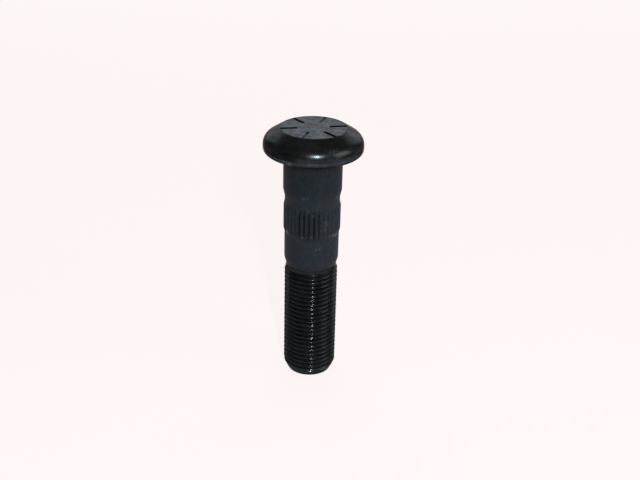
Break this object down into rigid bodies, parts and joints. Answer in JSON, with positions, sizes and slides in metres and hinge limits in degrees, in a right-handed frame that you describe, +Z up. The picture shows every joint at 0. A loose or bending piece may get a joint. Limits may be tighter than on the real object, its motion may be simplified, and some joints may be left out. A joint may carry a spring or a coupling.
{
  "type": "wheel bolt",
  "caption": "Pressed-in wheel bolt with a round conical head, plain collar, serrated band that grips a hub, and a metric threaded end for a wheel nut.",
  "frame": {"origin": "centre of the flat face at the threaded end, on which the bolt stands", "axes": "+Z up the bolt's axis from the threaded end to the head; +X and +Y are square to it, and one serration crest lies on +X"},
  "size_m": [0.04, 0.04, 0.109],
  "materials": {
    "black_phosphate_steel": "satin"
  },
  "bodies": {
    "root": {"wheel_bolt": "black_phosphate_steel"}
  },
  "joints": []
}
